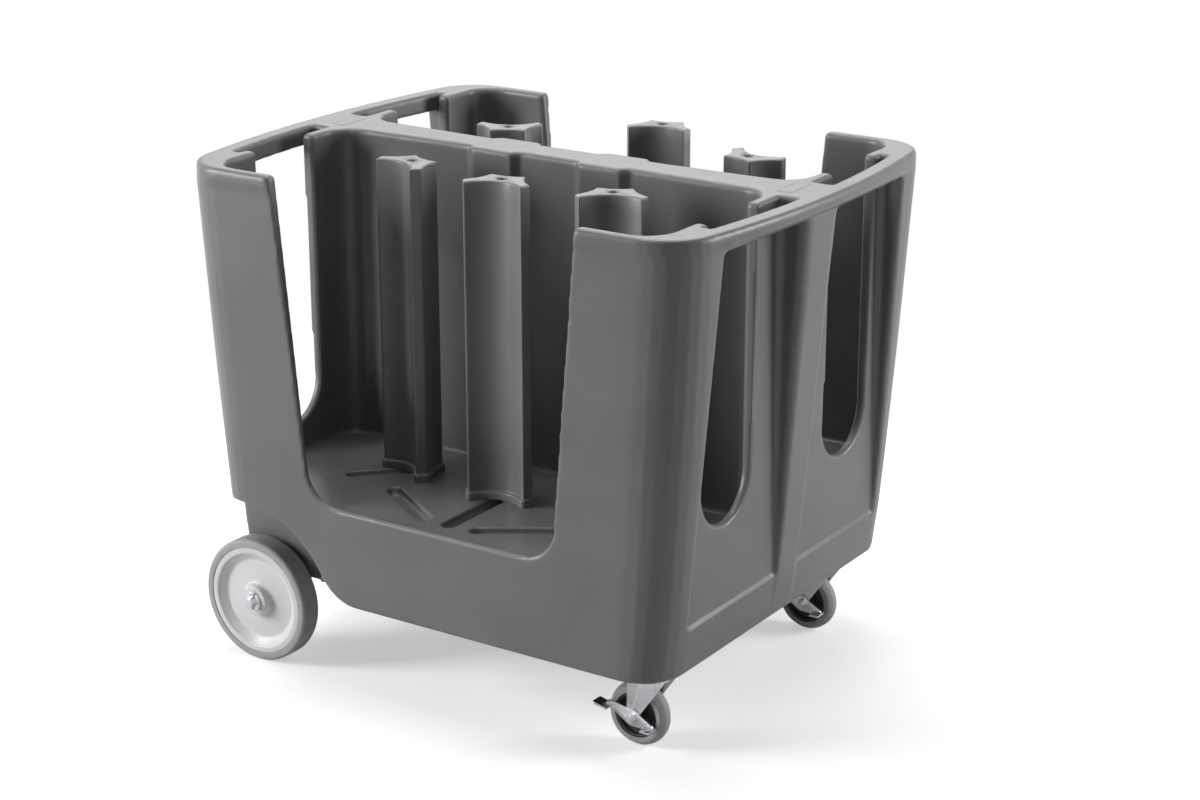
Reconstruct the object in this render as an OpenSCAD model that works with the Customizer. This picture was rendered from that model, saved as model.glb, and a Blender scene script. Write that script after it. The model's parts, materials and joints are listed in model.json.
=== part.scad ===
// Plate dispenser cart: a moulded two-sided body with six adjustable dividing
// towers, two large fixed wheels at the -X end and two braked swivel casters
// at the +X end. +Z is up, the origin is on the floor under the middle.

/* [Body] */
// Length over the two end handles
cart_l = 960; // [920:5:1000]
// Depth over the rim
cart_w = 740; // [720:5:780]
// Height from the floor to the rim
cart_h = 810; // [780:5:860]
// Height of the lower edge of the base above the floor
base_z = 141; // [141:1:150]
// How far the ends of the base lie inside the handles
base_in_l = 74; // [60:1:80]
// How far the sides of the base lie inside the rim
base_in_w = 14.5; // [8:0.5:20]
// How far the ends of the body lie inside the handles, just under the rim
shoulder_in_l = 16; // [10:1:24]
// How far the sides of the body lie inside the rim, just under it
shoulder_in_w = 3.5; // [2:0.5:8]
// Radius of the upright corners
corner_r = 66; // [50:2:80]
// How far the handles bow out in the middle
rim_bow = 38; // [20:2:50]
// How far the end faces bow out under the rim
shoulder_bow = 15; // [5:1:20]
// How far the end faces bow out at the base
base_bow = 2; // [1:0.5:5]
// Height of the rim and of the handle bars
rim_t = 29; // [24:1:36]
// Height over which the rim swells out from the body
rim_rise = 10; // [6:1:14]
// Width of the handle bars
bar_w = 32; // [26:1:36]
// Wall of the base skirt
skirt_t = 14; // [8:1:18]

/* [Wells] */
// Height of the floor that the stacks stand on
well_z = 295; // [285:1:300]
// Thickness of that floor
floor_t = 25; // [15:1:30]
// How far the inner faces of the end walls lie inside the handles
well_in_l = 84; // [80:1:90]
// How far the inner face of the front wall lies inside the rim
well_in_w = 21; // [20:1:35]
// Radius of the inner corners of a well
well_r = 45; // [30:1:60]
// Thickness of the centre wall
spine_t = 62; // [50:1:70]
// Thickness of the centre wall at its four ribs
rib_t = 86; // [76:1:100]
// Width of a rib
rib_w = 84; // [60:2:100]
// Distance of a rib from the middle
rib_x = 100; // [80:2:110]
// Height of the lip of the front opening
lip_z = 301; // [301:1:310]
// Width of the front opening at its lip
mouth_w = 448; // [400:4:460]
// Width of the front opening at the rim
mouth_top_w = 544; // [500:4:560]
// Radius of the lower corners of the front opening
mouth_r = 60; // [40:2:80]

/* [End walls] */
// Thickness of the recessed end panel at the base
panel_low_t = 12; // [10:1:14]
// Thickness of the recessed end panel under the rim
panel_top_t = 21; // [17:1:24]
// Half width of the centre pilaster at the base
pilaster_low_y = 28; // [20:1:36]
// Half width of the centre pilaster under the rim
pilaster_top_y = 51; // [45:1:60]
// Width of a corner column behind the front wall, at the base
column_low_w = 59; // [50:1:70]
// Width of a corner column behind the front wall, under the rim
column_top_w = 85; // [70:1:90]
// Rounding of the pilaster's outer edges
pilaster_edge_r = 18; // [10:1:20]
// Rounding of the columns' outer edges
column_edge_r = 10; // [6:1:16]
// Hollow corners where the recess meets the pilaster and the columns
recess_r = 14; // [6:1:20]
// Nearest edge of an end slot to the middle
slot_in_y = 112; // [90:1:120]
// Width of the jamb between an end slot and the column
jamb_w = 17; // [12:1:40]
// Lowest point of an end slot
slot_z = 345; // [330:1:380]

/* [Floor grooves] */
// Width of the grooves in the floor
groove_w = 24; // [24:1:26]
// Depth of the grooves in the floor
groove_d = 12; // [6:1:16]
// Inner end of the middle groove, from the middle plane
groove_mid_in_y = 142; // [130:1:150]
// Distance of the middle groove's outer end from the front wall
groove_mid_gap = 49; // [44:1:60]
// Inner end of a corner groove, from the middle plane
groove_in_y = 131; // [125:1:140]
// Outer end of a corner groove
groove_out_y = 206; // [180:1:210]
// How much further from the middle a corner groove lies along X than Y
groove_shift = 53; // [45:1:58]

/* [Towers] */
// How far the tower tops lie below the rim
tower_drop = 10; // [4:1:50]
// Half of the width of a tower across its two front arms
tower_half_w = 55; // [45:1:58]
// Reach of the arms in front of the tower's bolt
tower_front = 38; // [30:1:42]
// Reach of the back corners behind the tower's bolt
tower_back = 27; // [22:1:32]
// Half width of the tower's back
tower_back_half = 28; // [22:1:32]
// Wall of a tower
tower_wall = 5; // [3:0.5:6]
// Height of the wider foot of a tower
foot_h = 13; // [8:1:20]
// How much the foot stands out
foot_out = 5; // [2:0.5:6]
// Diameter of the tower bolts
tower_bolt_d = 10; // [8:1:10]

/* [Fixed wheels] */
// Diameter of the fixed wheels
wheel_d = 203; // [196:1:206]
// Width of the fixed wheels
wheel_w = 38; // [34:1:40]
// Diameter of the wheel's plastic centre
rim_d = 176; // [168:1:180]
// Distance of the axle from the end of the base
axle_in = 47; // [44:1:52]
// How far the wheels' outer faces lie inside the base
wheel_in = 14.5; // [12:0.5:17]
// Diameter of the axle
axle_d = 16; // [14:1:18]
// Radius of the wheel arch in the body
arch_r = 170; // [160:1:175]
// Radius of the blend from the arch to the base
arch_blend = 75; // [50:5:90]
// Depth of the wheel arch behind the wheel's outer face
arch_depth = 47; // [45:1:53]

/* [Casters] */
// Diameter of the caster wheels
caster_d = 100; // [96:1:102]
// Width of the caster wheels
caster_w = 28; // [24:1:30]
// Distance of the swivel axis from the end of the base
caster_in_l = 54; // [52:1:66]
// Distance of the swivel axis from the side of the base
caster_in_w = 97.5; // [94:0.5:105]
// Trail of the caster wheel behind the swivel axis
trail = 36; // [30:1:40]
// Length of the caster's top plate
plate_l = 84; // [80:1:86]
// Width of the caster's top plate
plate_w = 98; // [94:1:102]
// Distance between plate bolts along the plate
bolt_dx = 60; // [58:1:61]
// Distance between plate bolts across the plate
bolt_dy = 76; // [74:1:78]
// Thickness of the fork's sheet metal
fork_t = 3; // [2:0.5:4]

/* [Hidden] */

$fn = 48;
// Colours as the photograph shows them
body_grey = [0.40, 0.40, 0.41];
steel_grey = [0.80, 0.81, 0.83];
core_grey = [0.80, 0.80, 0.81];
tyre_grey = [0.47, 0.47, 0.48];
dark_grey = [0.20, 0.20, 0.21];

// One overrun serves all cuts
over = 5;
// Gap between faces of pieces that move past each other
face_gap = 0.3;
// Radial clearance of a running fit
run_fit = 0.05;
// Clearance of a bolt in its hole or slot
bolt_gap = 0.5;

// Steps of the outlines
corner_steps = 6;
end_steps = 12;
levels = 8;
arc_steps = 10;
// Power of the curve by which the ends lean out towards the rim
flare_share = 0.8;

base_l = cart_l - 2 * base_in_l;
base_w = cart_w - 2 * base_in_w;
shoulder_l = cart_l - 2 * shoulder_in_l;
shoulder_w = cart_w - 2 * shoulder_in_w;
well_l = cart_l - 2 * well_in_l;
well_y = cart_w / 2 - well_in_w;
panel_low_x = well_l / 2 + panel_low_t;
panel_top_x = well_l / 2 + panel_top_t;
panel_far = cart_l;
column_low_y = well_y - column_low_w;
column_top_y = well_y - column_top_w;
slot_out_y = column_top_y - jamb_w;
groove_mid_out_y = well_y - groove_mid_gap;
tower_top = cart_h - tower_drop;
axle_x = base_l / 2 - axle_in;
wheel_y = base_w / 2 - wheel_in;
arch_y = wheel_y - arch_depth;
caster_x = base_l / 2 - caster_in_l;
caster_y = base_w / 2 - caster_in_w;
rim_z = cart_h - rim_t;
floor_z = well_z - floor_t;

function quarter(cx, cy, r, from) =
  [for (i = [0 : corner_steps])
    [cx + r * cos(from + 90 * i / corner_steps), cy + r * sin(from + 90 * i / corner_steps)]];
// Rounded rectangle whose ends have extra points, so that they can bow
function block_outline(l, w, r) = concat(
  [for (i = [1 : end_steps - 1]) [l / 2, (w - 2 * r) * (i / end_steps - 0.5)]],
  quarter(l / 2 - r, w / 2 - r, r, 0),
  quarter(r - l / 2, w / 2 - r, r, 90),
  [for (i = [1 : end_steps - 1]) [-l / 2, (w - 2 * r) * (0.5 - i / end_steps)]],
  quarter(r - l / 2, r - w / 2, r, 180),
  quarter(l / 2 - r, r - w / 2, r, 270));
// The same with both ends bowed out in the middle
function bowed(l, w, bow, r) =
  [for (p = block_outline(l, w, r)) [p.x - sign(p.x) * bow * pow(2 * p.y / w, 2), p.y]];
function at_z(points, z) = [for (p = points) [p.x, p.y, z]];

// Solid through a stack of rings that all have the same number of points
module loft(rings) {
  n = len(rings[0]);
  m = len(rings);
  points = [for (ring = rings) each ring];
  sides = [for (k = [0 : m - 2]) for (i = [0 : n - 1])
    each [[k * n + i, (k + 1) * n + i, k * n + (i + 1) % n],
          [k * n + (i + 1) % n, (k + 1) * n + i, (k + 1) * n + (i + 1) % n]]];
  polyhedron(points = points, faces = concat(
    [[for (i = [0 : n - 1]) i]],
    [[for (i = [n - 1 : -1 : 0]) (m - 1) * n + i]],
    sides), convexity = 8);
}

// Outer form from the base to the rim: the ends lean out on a curve
function form_l(t) = base_l + (shoulder_l - base_l) * pow(t, flare_share);
function form_w(t) = base_w + (shoulder_w - base_w) * t;
function form_ring(t, inset) = at_z(
  bowed(form_l(t) - 2 * inset, form_w(t) - 2 * inset,
    face_bow(t), corner_r - inset),
  base_z + (rim_z - base_z) * t);

module outer_form() {
  loft([for (k = [0 : levels]) form_ring(k / levels, 0)]);
  loft(concat([form_ring(1, 0)], [for (z = [rim_z + rim_rise, cart_h])
    at_z(bowed(cart_l, cart_w, rim_bow, corner_r), z)]));
}

// Plan of the front well, from its outer corners round to the centre wall
rib_edge = rib_x + rib_w / 2;
rib_in = rib_x - rib_w / 2;
rib_slope = (rib_t - spine_t) / 4;
spine_swell = spine_t / 10;
half_rib = [
  [rib_edge + rib_slope, -spine_t / 2], [rib_edge - rib_slope, -rib_t / 2],
  [rib_in + rib_slope, -rib_t / 2], [rib_in - rib_slope, -spine_t / 2]];
function flip_x(points) = [for (i = [len(points) - 1 : -1 : 0]) [-points[i].x, points[i].y]];
well_plan = concat(
  quarter(well_r - well_l / 2, well_r - well_y, well_r, 180),
  quarter(well_l / 2 - well_r, well_r - well_y, well_r, 270),
  quarter(well_l / 2 - well_r, -spine_t / 2 - spine_swell - well_r, well_r, 0),
  half_rib,
  flip_x(half_rib),
  quarter(well_r - well_l / 2, -spine_t / 2 - spine_swell - well_r, well_r, 90));

module well() {
  translate([0, 0, well_z]) linear_extrude(cart_h + over - well_z) polygon(well_plan);
}

// Opening in the front wall: sides that lean, lower corners rounded
mouth_lean = (mouth_top_w - mouth_w) / 2;
module mouth() {
  tall = cart_h - lip_z;
  rise = tall + over;
  wide = mouth_w / 2 + mouth_lean * rise / tall;
  side_x = mouth_w / 2 - mouth_r + mouth_lean * mouth_r / tall;
  depth = cart_w / 2 - well_y + 2 * over;
  translate([0, -well_y + over, lip_z]) rotate([90, 0, 0]) linear_extrude(depth) polygon(concat(
    [for (i = [0 : corner_steps]) [-side_x - mouth_r * cos(90 * i / corner_steps),
      mouth_r - mouth_r * sin(90 * i / corner_steps)]],
    [for (i = [corner_steps : -1 : 0]) [side_x + mouth_r * cos(90 * i / corner_steps),
      mouth_r - mouth_r * sin(90 * i / corner_steps)]],
    [[wide, rise], [-wide, rise]]));
}

// Outer end face of the form at a height share and a distance from the middle plane
function face_bow(t) = base_bow + (shoulder_bow - base_bow) * t;
function face_x(t, y) = form_l(t) / 2 - face_bow(t) * pow(2 * y / form_w(t), 2);
// Recess of one half of the +X end face, between the pilaster and the column: soft outer
// edges and hollow corners, which shrink with the depth of the recess
recess_soft_share = 0.45;
recess_least = 4;
recess_drop = 2;
function arc(cx, cy, r, from, turn) =
  [for (i = [0 : corner_steps])
    [cx + r * cos(from + turn * i / corner_steps), cy + r * sin(from + turn * i / corner_steps)]];
function recess_ring(t) =
  let (x = panel_low_x + (panel_top_x - panel_low_x) * t,
    y0 = pilaster_low_y + (pilaster_top_y - pilaster_low_y) * t,
    y1 = column_low_y + (column_top_y - column_low_y) * t,
    x0 = max(face_x(t, y0), x + recess_least),
    x1 = max(face_x(t, y1), x + recess_least),
    r0 = min(pilaster_edge_r, recess_soft_share * (x0 - x)),
    r1 = min(column_edge_r, recess_soft_share * (x1 - x)),
    f0 = min(recess_r, recess_soft_share * (x0 - x)),
    f1 = min(recess_r, recess_soft_share * (x1 - x)))
  concat(
    arc(x + f0, y0 + f0, f0, 180, 90),
    arc(x0 - r0, y0 - r0, r0, 90, -90),
    [[panel_far, y0 - r0], [panel_far, y1 + r1]],
    arc(x1 - r1, y1 + r1, r1, 0, -90),
    arc(x + f1, y1 - f1, f1, 90, 90));
module end_recess() {
  difference() {
    loft(concat([at_z(recess_ring(0), base_z - over)],
      [for (k = [1 : levels]) at_z(recess_ring(k / levels), base_z + (rim_z - base_z) * k / levels)],
      [at_z(recess_ring(1), cart_h)]));
    translate([0, 0, rim_z - recess_drop]) cube([2 * cart_l, cart_w, cart_h]);
  }
  hand_gap();
}
// Gap behind a handle bar
module hand_gap() {
  intersection() {
    loft([for (z = [rim_z - over, cart_h + over])
      at_z(bowed(cart_l - 2 * bar_w, cart_w, rim_bow, corner_r), z)]);
    translate([panel_top_x, pilaster_top_y, rim_z - over])
      cube([panel_far, column_top_y - pilaster_top_y, rim_t + 2 * over]);
  }
}
// Tall slot with a round foot through the end panel, open at the rim
slot_r = (slot_out_y - slot_in_y) / 2;
slot_mid_y = (slot_out_y + slot_in_y) / 2;
module end_slot() {
  run = panel_top_x + over - well_l / 2 + over;
  translate([well_l / 2 - over, slot_mid_y, slot_z + slot_r]) {
    rotate([0, 90, 0]) cylinder(r = slot_r, h = run);
    translate([0, -slot_r, 0]) cube([run, 2 * slot_r, cart_h - slot_z - slot_r + over]);
  }
}

// Hollow underside, which leaves walls round the wheel arches
module underside() {
  difference() {
    loft([for (z = [base_z - over, floor_z]) [for (p = form_ring(0, skirt_t)) [p.x, p.y, z]]]);
    for (s = [-1, 1]) arch_block(s, arch_r + skirt_t, arch_y - skirt_t);
    caster_pads();
    axle_pad();
  }
}
module arch_block(s, r, from) {
  translate([-axle_x, s > 0 ? from : -cart_w, wheel_d / 2])
    rotate([-90, 0, 0]) cylinder(r = r, h = cart_w - from, $fn = 96);
}
// Wheel arch with a blended foot where it meets the base
blend_dz = base_z + arch_blend - wheel_d / 2;
blend_x = sqrt(pow(arch_r + arch_blend, 2) - pow(blend_dz, 2));
touch_share = arch_r / (arch_r + arch_blend);
module arch_cut(s) {
  arch_block(s, arch_r, arch_y);
  difference() {
    translate([-axle_x, s > 0 ? cart_w : -arch_y, wheel_d / 2])
      rotate([90, 0, 0]) linear_extrude(cart_w - arch_y) polygon([
        [0, 0], [blend_x * touch_share, blend_dz * touch_share],
        [blend_x, blend_dz - arch_blend], [blend_x, base_z - over - wheel_d / 2],
        [0, base_z - over - wheel_d / 2]]);
    translate([blend_x - axle_x, -cart_w, base_z + arch_blend])
      rotate([-90, 0, 0]) cylinder(r = arch_blend, h = 2 * cart_w, $fn = 96);
  }
}
// Thick places in the underside for the casters and for the axle brackets
pad_t = 20;
pad_margin = 8;
module caster_pads() {
  for (s = [-1, 1])
    translate([caster_x - plate_l / 2 - pad_margin, s * caster_y - plate_w / 2 - pad_margin,
      base_z - 2 * over])
      cube([cart_l, plate_w + 2 * pad_margin + cart_w / 4, pad_t + 2 * over]);
}
bracket_l = 76;
bracket_foot = 30;
bracket_t = 5;
bracket_y = arch_y - skirt_t - bracket_foot;
module axle_pad() {
  translate([-cart_l, -cart_w, base_z - 2 * over])
    cube([cart_l - axle_x + bracket_l / 2 + pad_margin, 2 * cart_w, pad_t + 2 * over]);
}

// Grooves in the floor, and the slots that the tower bolts slide in
module pill(a, b, w, z, h) {
  d = b - a;
  run = norm(d);
  translate([a.x, a.y, z]) rotate([0, 0, atan2(d.y, d.x)]) {
    cylinder(d = w, h = h);
    translate([run, 0, 0]) cylinder(d = w, h = h);
    translate([0, -w / 2, 0]) cube([run, w, h]);
  }
}
function corner_spot(y) = [y + groove_shift, y];
side_groove_share = [[0.17, 0.99], [0.53, 0.76]];
module grooves() {
  top = well_z - groove_d;
  slot_w = tower_bolt_d + 2 * bolt_gap;
  for (t = [-1, 1]) {
    a = [0, t * groove_mid_in_y];
    b = [0, t * groove_mid_out_y];
    pill(a, b, groove_w, top, groove_d + over);
    pill(a, b, slot_w, floor_z - over, floor_t + 2 * over);
    for (s = [-1, 1]) {
      c = corner_spot(groove_in_y);
      d = corner_spot(groove_out_y);
      p = [s * c.x, t * c.y];
      q = [s * d.x, t * d.y];
      pill(p, q, groove_w, top, groove_d + over);
      pill(p, q, slot_w, floor_z - over, floor_t + 2 * over);
      // Blind groove from the front edge out to the side
      pill([s * side_groove_share[0][0] * groove_mid_out_y,
            t * side_groove_share[0][1] * groove_mid_out_y],
           [s * side_groove_share[1][0] * groove_mid_out_y,
            t * side_groove_share[1][1] * groove_mid_out_y],
           groove_w, top, groove_d + over);
    }
  }
}

// Bare raised pads on the middle of both handles
label_l = 62;
label_w = 26;
label_h = 1;
label_in = 68;
label_x = cart_l / 2 - label_in;
module label_pads() {
  for (s = [-1, 1])
    translate([s * label_x - label_w / 2, -label_l / 2, cart_h - over])
      cube([label_w, label_l, over + label_h]);
}

module plate_bolt_spots() {
  for (i = [-1, 1]) for (j = [-1, 1]) translate([i * bolt_dx / 2, j * bolt_dy / 2, 0]) children();
}
plate_bolt_d = 8;
bracket_bolt_d = 8;
bracket_bolt_dx = 42;
module bracket_bolt_spots() {
  for (s = [-1, 1]) for (i = [-1, 1])
    translate([i * bracket_bolt_dx / 2 - axle_x, s * (bracket_y + bracket_foot / 2), 0]) children();
}

arch_bolt_d = 6;
arch_bolt_out = 105;
arch_bolt_x = axle_x - arch_bolt_out;
arch_bolt_z = base_z + arch_bolt_d + bolt_gap;
module at_arch_bolts(out) {
  for (s = [0, 1]) mirror([0, s, 0]) translate([-arch_bolt_x, out, arch_bolt_z])
    rotate([90, 0, 0]) children();
}

module body() {
  color(body_grey) {
    difference() {
      outer_form();
      for (t = [0, 1]) mirror([0, t, 0]) {
        well();
        mouth();
        for (s = [0, 1]) mirror([s, 0, 0]) {
          end_recess();
          end_slot();
        }
      }
      underside();
      for (s = [-1, 1]) arch_cut(s);
      grooves();
      for (s = [-1, 1]) translate([caster_x, s * caster_y, base_z - over])
        plate_bolt_spots() cylinder(d = plate_bolt_d + 2 * bolt_gap, h = pad_t + 2 * over);
      at_arch_bolts(over - arch_y + skirt_t) cylinder(d = arch_bolt_d + 2 * bolt_gap, h = skirt_t + 2 * over);
      translate([0, 0, base_z - over])
        bracket_bolt_spots() cylinder(d = bracket_bolt_d + 2 * bolt_gap, h = pad_t + 2 * over);
    }
    label_pads();
  }
}

// Towers: two blunt arms in front, a broad back, and sides that curve in
arm_back_share = 0.53;
arm_in_share = 0.84;
front_dip = 22;
flank_dip = 5;
back_dip = 6;
// Points from a to b on a curve that dips by the given depth to the left
function dip(a, b, depth) =
  let (d = b - a, n = [-d.y, d.x] / norm(d))
  [for (i = [1 : arc_steps - 1]) let (u = i / arc_steps) a + d * u + n * depth * 4 * u * (1 - u)];
arm_tip = [tower_half_w * arm_in_share, -tower_front];
arm_heel = [tower_half_w, -tower_front * arm_back_share];
back_corner = [tower_back_half, tower_back];
function neg_x(p) = [-p.x, p.y];
tower_plan = concat(
  [neg_x(arm_tip)], dip(neg_x(arm_tip), arm_tip, front_dip), [arm_tip, arm_heel],
  dip(arm_heel, back_corner, flank_dip), [back_corner],
  dip(back_corner, neg_x(back_corner), back_dip), [neg_x(back_corner)],
  dip(neg_x(back_corner), neg_x(arm_heel), flank_dip), [neg_x(arm_heel)]);
bolt_seat = 12;
bolt_head_d = 16;
bolt_head_h = 8;
tube_wall = 6;
crown_h = 8;
crown_in = 3;
module tower_prism(grow, z, h) {
  k = 1 + grow / tower_half_w;
  translate([0, 0, z]) linear_extrude(h) polygon(tower_plan * k);
}
module tower(x, y, facing) {
  bottom = well_z + face_gap;
  color(body_grey) translate([x, y, 0]) rotate([0, 0, facing]) difference() {
    union() {
      tower_prism(0, bottom, tower_top - crown_in - bottom);
      tower_prism(-crown_in, tower_top - crown_in, crown_in);
      tower_prism(foot_out, bottom, foot_h);
    }
    difference() {
      tower_prism(-2 * tower_wall, bottom - over, tower_top - crown_h - bottom + over);
      cylinder(d = tower_bolt_d + 2 * tube_wall, h = cart_h);
    }
    cylinder(d = tower_bolt_d + 2 * run_fit, h = cart_h + over);
    translate([0, 0, tower_top - bolt_seat]) cylinder(d = bolt_head_d + 2 * bolt_gap, h = bolt_seat + over);
  }
}
clamp_t = 4;
clamp_d = 34;
nut_h = 12;
nut_d = 26;
bolt_tail = 6;
module tower_bolt(x, y) {
  seat = tower_top - bolt_seat + face_gap;
  low = floor_z - face_gap - clamp_t - nut_h - bolt_tail;
  color(steel_grey) translate([x, y, 0]) {
    translate([0, 0, low]) cylinder(d = tower_bolt_d, h = seat - low + over / 2);
    translate([0, 0, seat]) difference() {
      cylinder(d = bolt_head_d, h = bolt_head_h);
      translate([0, 0, bolt_head_h / 2]) cylinder(d = bolt_head_d / 2, h = bolt_head_h, $fn = 6);
    }
  }
}
module clamp_plate(x, y) {
  color(steel_grey) translate([x, y, floor_z - face_gap - clamp_t]) difference() {
    cylinder(d = clamp_d, h = clamp_t);
    translate([0, 0, -over]) cylinder(d = tower_bolt_d, h = clamp_t + 2 * over);
  }
}
module clamp_nut(x, y) {
  color(dark_grey) translate([x, y, floor_z - face_gap - clamp_t - nut_h]) difference() {
    cylinder(d = nut_d, h = nut_h, $fn = 6);
    translate([0, 0, -over]) cylinder(d = tower_bolt_d, h = nut_h + 2 * over);
  }
}
// Where each tower stands and which way its hollow front looks
inner_spot = corner_spot(groove_in_y);
back_left_share = 0.21;
back_right_share = 0.63;
back_left_y = groove_in_y + (groove_out_y - groove_in_y) * back_left_share;
back_right_y = groove_in_y + (groove_out_y - groove_in_y) * back_right_share;
back_left_spot = corner_spot(back_left_y);
back_right_spot = corner_spot(back_right_y);
SPOTS = [
  [-inner_spot.x, -inner_spot.y, -19],
  [0, -groove_mid_in_y - groove_w / 2, 12],
  [inner_spot.x, -inner_spot.y, 26],
  [-back_left_spot.x, back_left_spot.y, 210],
  [0, groove_mid_out_y, 14],
  [back_right_spot.x, back_right_spot.y, 166]];

// Sizes of bolt heads and nuts as shares of the shank
head_share = 0.65;
nut_share = 0.8;
hex_share = 1.85;
// Fixed axle, its brackets and its fasteners
axle_z = wheel_d / 2;
hub_out = 3;
washer_t = 2.5;
washer_d = 30;
pin_d = 3.5;
axle_end = wheel_y + hub_out + washer_t + 2 * pin_d + over;
pin_y = wheel_y + hub_out + washer_t + face_gap + pin_d / 2;
hub_in_y = wheel_y - wheel_w - hub_out;
spacer_d = 24;
module along_y(from, to, d) {
  translate([-axle_x, from, axle_z]) rotate([-90, 0, 0]) cylinder(d = d, h = to - from);
}
module ring_y(from, to, d, bore) {
  difference() {
    along_y(from, to, d);
    along_y(from - over, to + over, bore);
  }
}
module axle() {
  color(steel_grey) difference() {
    along_y(-axle_end, axle_end, axle_d);
    for (s = [-1, 1]) translate([-axle_x, s * pin_y, axle_z - axle_d])
      cylinder(d = pin_d + bolt_gap / 2, h = 2 * axle_d);
  }
}
bracket_drop = base_z - axle_z;
bracket_nose = 18;
module axle_bracket(s) {
  color(steel_grey) difference() {
    union() {
      translate([-axle_x - bracket_l / 2, s > 0 ? bracket_y : -bracket_y - bracket_foot,
        base_z - bracket_t]) cube([bracket_l, bracket_foot, bracket_t]);
      translate([-axle_x, s > 0 ? bracket_y + bracket_t : -bracket_y, 0])
        rotate([90, 0, 0]) linear_extrude(bracket_t) polygon([
          [-bracket_l / 2, base_z], [-bracket_nose, axle_z - bracket_nose],
          [bracket_nose, axle_z - bracket_nose], [bracket_l / 2, base_z]]);
    }
    along_y(-cart_w, cart_w, axle_d + 2 * run_fit);
    bracket_bolt_spots() cylinder(d = bracket_bolt_d + 2 * bolt_gap, h = cart_h);
  }
}
module hex_bolt(d, grip, tail) {
  // Shank up from zero, head hanging below it
  cylinder(d = d, h = grip + tail);
  translate([0, 0, -head_share * d]) cylinder(d = hex_share * d, h = head_share * d, $fn = 6);
  translate([0, 0, grip]) cylinder(d = hex_share * d, h = nut_share * d, $fn = 6);
}
module bracket_bolts() {
  color(steel_grey) translate([0, 0, base_z - bracket_t])
    bracket_bolt_spots() hex_bolt(bracket_bolt_d, bracket_t + pad_t, bracket_bolt_d);
}
module arch_bolts() {
  color(steel_grey) {
    at_arch_bolts(skirt_t - arch_y) {
      translate([0, 0, -arch_bolt_d]) cylinder(d = arch_bolt_d, h = skirt_t + 2 * arch_bolt_d);
      translate([0, 0, -nut_share * arch_bolt_d]) cylinder(d = hex_share * arch_bolt_d, h = nut_share * arch_bolt_d, $fn = 6);
      translate([0, 0, skirt_t]) cylinder(d = hex_share * arch_bolt_d, h = head_share * arch_bolt_d, $fn = 6);
    }
  }
}
module axle_spacers() {
  color(steel_grey) for (s = [-1, 1]) mirror([0, s > 0 ? 0 : 1, 0])
    ring_y(bracket_y + bracket_t, hub_in_y - washer_t - face_gap, spacer_d, axle_d + 2 * run_fit);
}
module axle_washers() {
  color(steel_grey) for (s = [0, 1]) mirror([0, s, 0]) {
    ring_y(hub_in_y - washer_t - face_gap, hub_in_y - face_gap, washer_d, axle_d + 2 * run_fit);
    ring_y(wheel_y + hub_out + face_gap, wheel_y + hub_out + face_gap + washer_t - face_gap,
      washer_d, axle_d + 2 * run_fit);
  }
}
pin_eye = 5;
module split_pins() {
  color(steel_grey) for (s = [-1, 1]) translate([-axle_x, s * pin_y, axle_z]) {
    translate([0, 0, -axle_d / 2 - pin_eye]) cylinder(d = pin_d, h = axle_d + 2 * pin_eye);
    translate([0, 0, axle_d / 2 + pin_eye]) rotate([90, 0, 0])
      rotate_extrude() translate([pin_eye - pin_d / 2, 0]) circle(d = pin_d, $fn = 16);
  }
}

// Fixed wheel: dished centre with a hub, bush and solid tyre
hub_d = 48;
bush_wall = 3;
web_t = 9;
rim_t_w = 10;
rim_lip = 2;
tyre_round = 5;
module wheel_core(s) {
  bore = axle_d + 2 * run_fit + 2 * bush_wall;
  color(core_grey) mirror([0, s > 0 ? 0 : 1, 0]) difference() {
    union() {
      ring_y(wheel_y - wheel_w + rim_lip, wheel_y - rim_lip, rim_d, rim_d - 2 * rim_t_w);
      along_y(wheel_y - wheel_w / 2 - web_t / 2, wheel_y - wheel_w / 2 + web_t / 2, rim_d - rim_t_w);
      along_y(hub_in_y, wheel_y + hub_out, hub_d);
    }
    along_y(-cart_w, cart_w, bore);
  }
}
module wheel_bush(s) {
  color(dark_grey) mirror([0, s > 0 ? 0 : 1, 0])
    ring_y(hub_in_y, wheel_y + hub_out, axle_d + 2 * run_fit + 2 * bush_wall, axle_d + 2 * run_fit);
}
module wheel_tyre(s) {
  color(tyre_grey) mirror([0, s > 0 ? 0 : 1, 0])
    translate([-axle_x, wheel_y - wheel_w / 2, axle_z]) rotate([90, 0, 0]) rotate_extrude($fn = 96)
      polygon([
        [rim_d / 2, -wheel_w / 2], [wheel_d / 2 - tyre_round, -wheel_w / 2],
        [wheel_d / 2, tyre_round - wheel_w / 2], [wheel_d / 2, wheel_w / 2 - tyre_round],
        [wheel_d / 2 - tyre_round, wheel_w / 2], [rim_d / 2, wheel_w / 2]]);
}

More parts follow.
